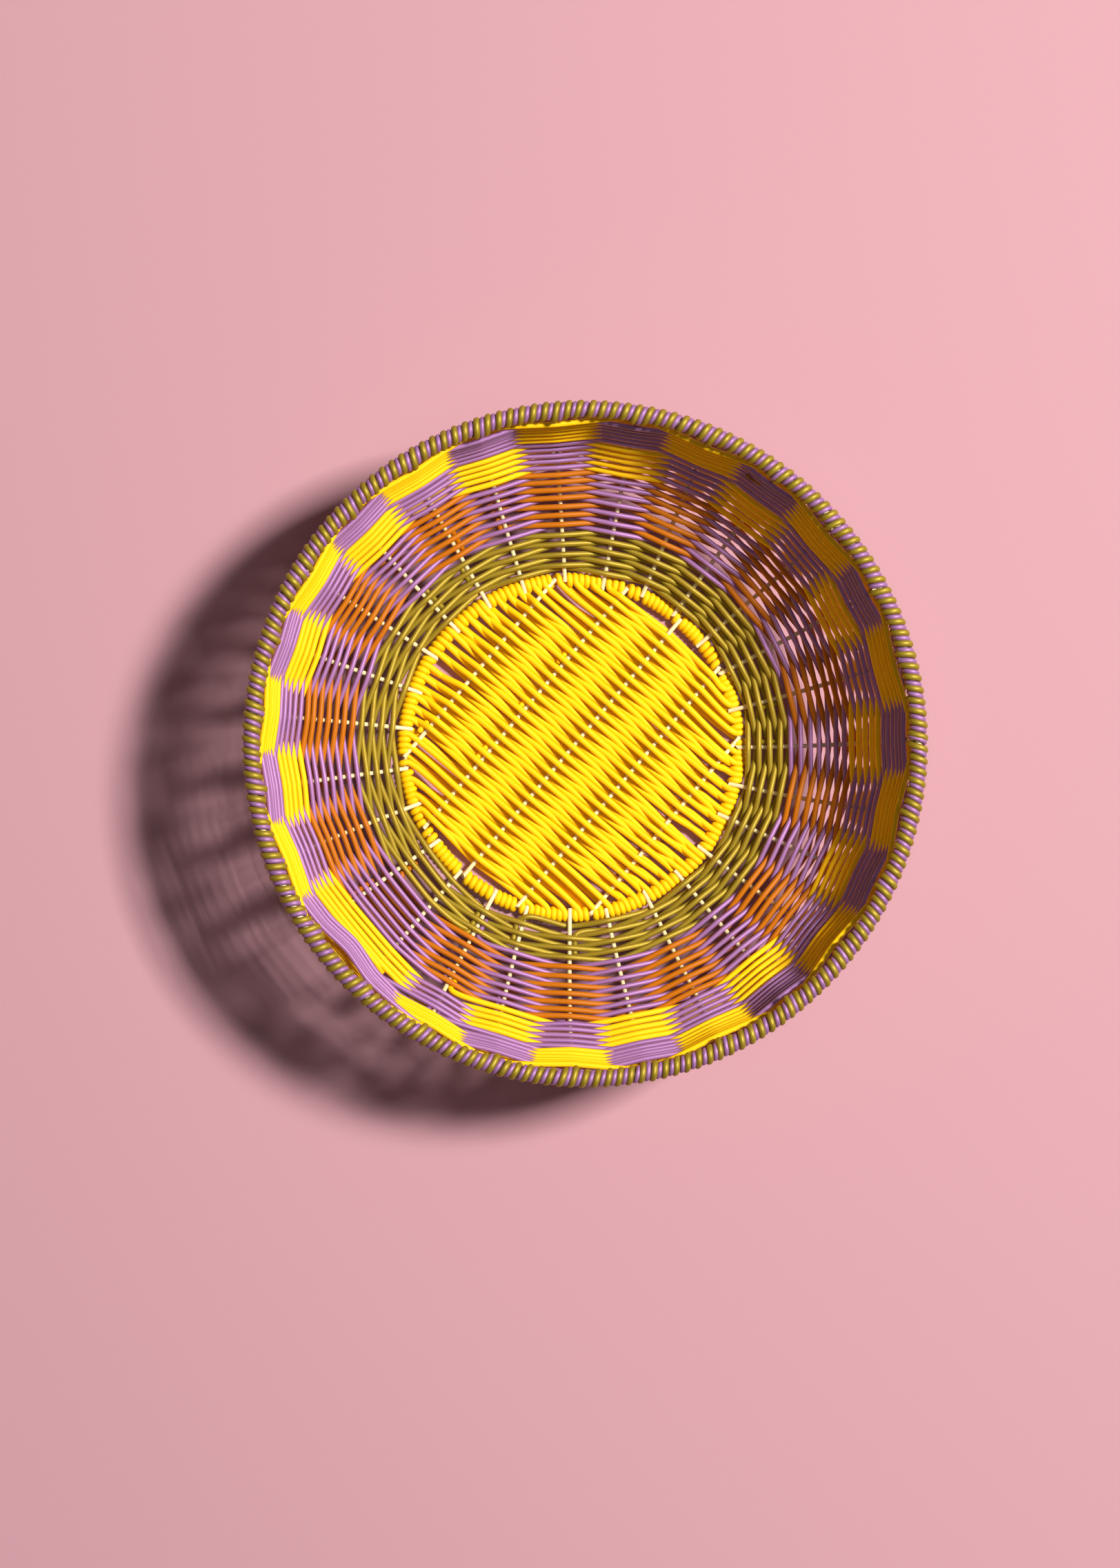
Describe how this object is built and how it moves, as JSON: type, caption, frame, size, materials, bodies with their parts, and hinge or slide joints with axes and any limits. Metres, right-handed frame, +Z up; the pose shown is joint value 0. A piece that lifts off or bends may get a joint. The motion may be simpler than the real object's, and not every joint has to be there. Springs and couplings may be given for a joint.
{
  "type": "woven bowl",
  "caption": "Round open bowl: a welded wire frame woven with coloured plastic cord, with a flat woven base, curved walls and a wrapped rim.",
  "frame": {"origin": "centre of the bowl's footprint, on the surface that it stands on", "axes": "+Z up, along the bowl's axis; +X and +Y lie in the plane of the rim, and the base rods run 49.7 degrees from +X towards +Y"},
  "size_m": [0.3, 0.3, 0.0988],
  "materials": {
    "cream_wire": "satin powder coat",
    "yellow_cord": "satin soft plastic",
    "orange_cord": "satin soft plastic",
    "lilac_cord": "satin soft plastic",
    "olive_cord": "satin soft plastic with a pearl sheen"
  },
  "bodies": {
    "root": {"base_ring": "cream_wire", "base_rod_1": "cream_wire", "base_rod_2": "cream_wire", "base_rod_3": "cream_wire", "base_rod_4": "cream_wire", "base_rod_5": "cream_wire", "base_ring_wrap": "yellow_cord", "base_weave": "yellow_cord", "rim_ring": "cream_wire", "rim_wrap": "lilac_cord", "olive_cord_a": "olive_cord", "olive_cord_b": "olive_cord", "middle_lilac_cord": "lilac_cord", "middle_orange_cord": "orange_cord", "upper_yellow_cord": "yellow_cord", "upper_lilac_cord": "lilac_cord", "top_lilac_cord": "lilac_cord", "top_yellow_cord": "yellow_cord", "rib_01": "cream_wire", "rib_02": "cream_wire", "rib_03": "cream_wire", "rib_04": "cream_wire", "rib_05": "cream_wire", "rib_06": "cream_wire", "rib_07": "cream_wire", "rib_08": "cream_wire", "rib_09": "cream_wire", "rib_10": "cream_wire", "rib_11": "cream_wire", "rib_12": "cream_wire", "rib_13": "cream_wire", "rib_14": "cream_wire", "rib_15": "cream_wire", "rib_16": "cream_wire", "rib_17": "cream_wire", "rib_18": "cream_wire", "rib_19": "cream_wire", "rib_20": "cream_wire", "rib_21": "cream_wire", "rib_22": "cream_wire", "rib_23": "cream_wire", "rib_24": "cream_wire", "rib_25": "cream_wire", "rib_26": "cream_wire", "rib_27": "cream_wire"}
  },
  "joints": []
}
